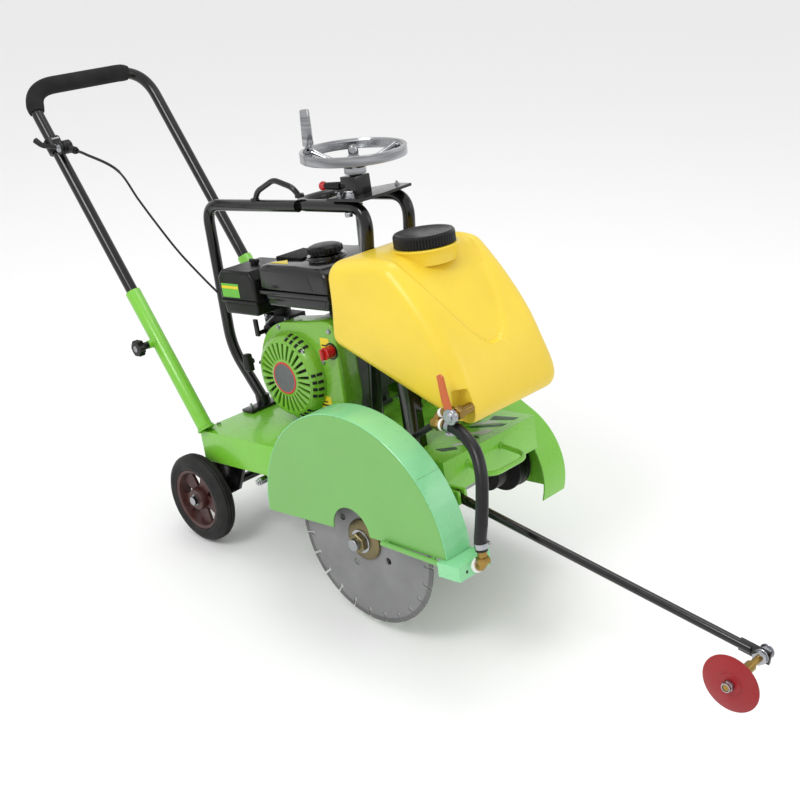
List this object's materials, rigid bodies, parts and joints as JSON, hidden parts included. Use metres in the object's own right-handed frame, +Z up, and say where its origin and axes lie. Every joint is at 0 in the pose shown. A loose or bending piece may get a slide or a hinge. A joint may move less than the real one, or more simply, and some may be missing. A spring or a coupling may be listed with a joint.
{
  "type": "walk-behind concrete saw",
  "caption": "Walk-behind petrol concrete saw with guarded diamond blade, belt drive, screw depth control, water tank and fold-up cutting guide.",
  "frame": {"origin": "centre of the footprint box at floor level", "axes": "+X forward, the way the saw cuts; +Y to the operator's left; +Z up; standing on its four wheels"},
  "size_m": [1.911, 0.49, 0.9393],
  "materials": {
    "lime": "gloss",
    "mint": "gloss",
    "black_paint": "gloss",
    "yellow_plastic": "satin",
    "black_plastic": "satin",
    "steel": "satin",
    "chrome": "polished",
    "zinc": "satin",
    "rubber": "matte",
    "tyre": "matte",
    "rim": "matte",
    "cast": "rough",
    "alloy": "cast",
    "red": "gloss",
    "foam": "matte",
    "orange": "gloss",
    "red_disc": "satin"
  },
  "bodies": {
    "chassis": {"deck": "lime", "front_bail": "lime", "handle_socket_right": "lime", "handle_socket_left": "lime", "cage_rear_leg": "black_paint", "cage_front_hoop": "black_paint", "screw_block": "black_paint", "rear_axle": "black_paint", "engine_block": "alloy", "blower_housing": "lime", "recoil_cover": "lime", "fuel_tank": "black_plastic", "air_filter_box": "black_plastic", "carburettor": "alloy", "muffler": "steel", "drive_belt": "rubber", "bearing_right": "cast", "bearing_left": "cast", "belt_guard": "lime", "blade_guard": "mint", "water_block": "lime", "spray_pipe": "lime", "water_tank": "yellow_plastic", "tank_stand": "black_paint", "ball_valve": "zinc", "water_hose": "rubber", "throttle_cable": "rubber"},
    "handlebar": {"handlebar": "black_paint", "foam_grip": "foam", "throttle_clamp": "black_plastic"},
    "throttle_lever": {"throttle_lever": "black_plastic"},
    "star_knob_right": {"star_knob_right": "black_plastic"},
    "star_knob_left": {"star_knob_left": "black_plastic"},
    "front_arm": {"front_arm": "black_paint"},
    "front_wheel_right": {"front_wheel_right": "rubber"},
    "front_wheel_left": {"front_wheel_left": "rubber"},
    "rear_wheel_right": {"rear_rim_right": "rim", "rear_tyre_right": "tyre"},
    "rear_wheel_left": {"rear_rim_left": "rim", "rear_tyre_left": "tyre"},
    "screw": {"lead_screw": "steel", "handwheel": "chrome"},
    "handwheel_grip": {"handwheel_grip": "chrome"},
    "lock_lever": {"lock_lever": "red"},
    "lift_nut": {"lift_nut": "steel"},
    "rotor": {"arbor_shaft": "steel", "arbor_pulley": "cast", "blade": "steel", "outer_flange": "zinc", "arbor_nut": "zinc"},
    "engine_pulley": {"engine_pulley": "cast"},
    "pull_handle": {"pull_handle": "black_plastic"},
    "fuel_cap": {"fuel_cap": "black_plastic"},
    "tank_cap": {"tank_cap": "black_plastic"},
    "engine_switch": {"engine_switch": "red"},
    "choke_lever": {"choke_lever": "black_plastic"},
    "valve_lever": {"valve_lever": "orange"},
    "guide_arm": {"guide_arm": "black_paint", "guide_bolt": "zinc"},
    "guide_disc": {"guide_disc": "red_disc"}
  },
  "joints": [
    {"name": "arm_depth", "type": "hinge", "parent": "chassis", "child": "front_arm", "pos_m": [-0.20656, -0.021, 0.185], "axis": [0, -1, 0], "range_deg": [0, 27.7]},
    {"name": "nut_lift", "type": "slide", "parent": "chassis", "child": "lift_nut", "axis": [-0.0872, 0, 0.9962], "range_m": [0, 0.079]},
    {"name": "handwheel_turn", "type": "hinge", "parent": "chassis", "child": "screw", "pos_m": [-0.09657, 0.029, 0.75817], "axis": [0.0872, 0, -0.9962], "range_deg": [0, 2885]},
    {"name": "grip_spin", "type": "hinge", "parent": "screw", "child": "handwheel_grip", "pos_m": [-0.19632, -0.00497, 0.85584], "axis": [-0.0872, 0, 0.9962], "continuous": true},
    {"name": "lock_turn", "type": "hinge", "parent": "chassis", "child": "lock_lever", "pos_m": [-0.10006, 0.029, 0.79801], "axis": [-0.0872, 0, 0.9962], "range_deg": [-35, 35]},
    {"name": "front_wheel_right_spin", "type": "hinge", "parent": "front_arm", "child": "front_wheel_right", "pos_m": [0.01919, -0.049, 0.04778], "axis": [0, 1, 0], "continuous": true},
    {"name": "front_wheel_left_spin", "type": "hinge", "parent": "front_arm", "child": "front_wheel_left", "pos_m": [0.01919, 0.025, 0.04778], "axis": [0, 1, 0], "continuous": true},
    {"name": "rear_wheel_right_spin", "type": "hinge", "parent": "chassis", "child": "rear_wheel_right", "pos_m": [-0.3829, -0.209, 0.09973], "axis": [0, 1, 0], "continuous": true},
    {"name": "rear_wheel_left_spin", "type": "hinge", "parent": "chassis", "child": "rear_wheel_left", "pos_m": [-0.3829, 0.201, 0.09973], "axis": [0, 1, 0], "continuous": true},
    {"name": "blade_spin", "type": "hinge", "parent": "chassis", "child": "rotor", "pos_m": [0.12635, -0.201, 0.19509], "axis": [0, 1, 0], "continuous": true},
    {"name": "engine_shaft_spin", "type": "hinge", "parent": "chassis", "child": "engine_pulley", "pos_m": [-0.22362, 0.215, 0.39], "axis": [0, 1, 0], "continuous": true},
    {"name": "handle_height", "type": "slide", "parent": "chassis", "child": "handlebar", "axis": [-0.6428, 0, 0.766], "range_m": [-0.1, 0.08], "deforming": ["throttle_cable"]},
    {"name": "throttle_turn", "type": "hinge", "parent": "handlebar", "child": "throttle_lever", "pos_m": [-0.79535, -0.181, 0.81083], "axis": [0, 1, 0], "range_deg": [-30, 35]},
    {"name": "knob_right_turn", "type": "hinge", "parent": "chassis", "child": "star_knob_right", "pos_m": [-0.5227, -0.181, 0.42498], "axis": [0, -1, 0], "range_deg": [0, 720]},
    {"name": "knob_left_turn", "type": "hinge", "parent": "chassis", "child": "star_knob_left", "pos_m": [-0.5227, 0.134, 0.42498], "axis": [0, 1, 0], "range_deg": [0, 720]},
    {"name": "starter_pull", "type": "slide", "parent": "chassis", "child": "pull_handle", "axis": [-0.9969, 0, 0.0791], "range_m": [0, 0.45], "stiffness_N_per_m": 25, "springref_m": -0.15},
    {"name": "fuel_cap_turn", "type": "hinge", "parent": "chassis", "child": "fuel_cap", "pos_m": [-0.20374, 0.031, 0.6468], "axis": [-0.165, 0, 0.9863], "range_deg": [0, 360]},
    {"name": "tank_cap_turn", "type": "hinge", "parent": "chassis", "child": "tank_cap", "pos_m": [0.09147, 0.014, 0.73676], "axis": [-0.165, 0, 0.9863], "range_deg": [0, 720]},
    {"name": "switch_turn", "type": "hinge", "parent": "chassis", "child": "engine_switch", "pos_m": [-0.10958, -0.061, 0.47194], "axis": [0, 1, 0], "range_deg": [0, 60]},
    {"name": "choke_turn", "type": "hinge", "parent": "chassis", "child": "choke_lever", "pos_m": [-0.37293, -0.015, 0.43396], "axis": [0, 1, 0], "range_deg": [0, 45]},
    {"name": "valve_turn", "type": "hinge", "parent": "chassis", "child": "valve_lever", "pos_m": [0.3037, -0.149, 0.49244], "axis": [0, -1, 0], "range_deg": [0, 90]},
    {"name": "guide_fold", "type": "hinge", "parent": "chassis", "child": "guide_arm", "pos_m": [0.27538, -0.106, 0.30418], "axis": [0, -1, 0], "range_deg": [-18, 68]},
    {"name": "guide_disc_spin", "type": "hinge", "parent": "guide_arm", "child": "guide_disc", "pos_m": [0.90768, -0.201, 0.25775], "axis": [0, 1, 0], "continuous": true}
  ],
  "couplings": [
    {"joint": "nut_lift", "follows": "arm_depth", "m_per_rad": 0.16268},
    {"joint": "handwheel_turn", "follows": "arm_depth", "ratio": 103.97},
    {"joint": "engine_shaft_spin", "follows": "blade_spin", "ratio": 1.23}
  ]
}
